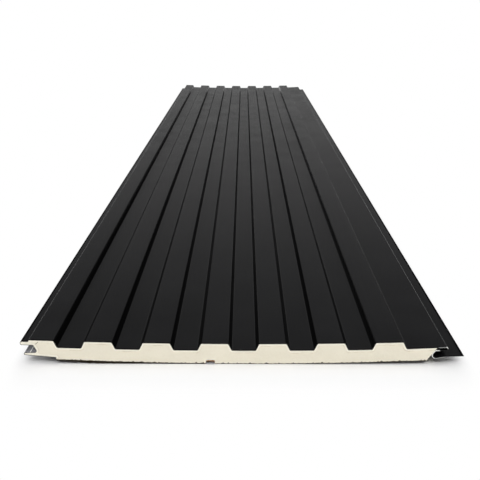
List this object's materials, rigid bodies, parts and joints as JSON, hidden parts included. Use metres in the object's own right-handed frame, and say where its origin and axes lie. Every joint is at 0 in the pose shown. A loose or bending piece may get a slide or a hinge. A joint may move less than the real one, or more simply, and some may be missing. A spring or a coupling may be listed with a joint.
{
  "type": "insulated metal siding panel",
  "caption": "Long flat siding panel: ribbed dark painted steel face on a foam core with foil back, lip-and-groove joint on one long edge and hemmed nailing flange on the other.",
  "frame": {"origin": "under the middle of the panel's width and length, on the flat strip of its back", "axes": "+X across the ribs, from the lip edge to the flange edge; +Y along the ribs; +Z out of the face"},
  "size_m": [0.4098, 2.4, 0.0233],
  "materials": {
    "face_paint": "satin",
    "foam": "cut rigid foam",
    "foil": "thin crinkled foil"
  },
  "bodies": {
    "root": {"face_sheet": "face_paint", "foam_core": "foam", "backing_foil": "foil"}
  },
  "joints": []
}
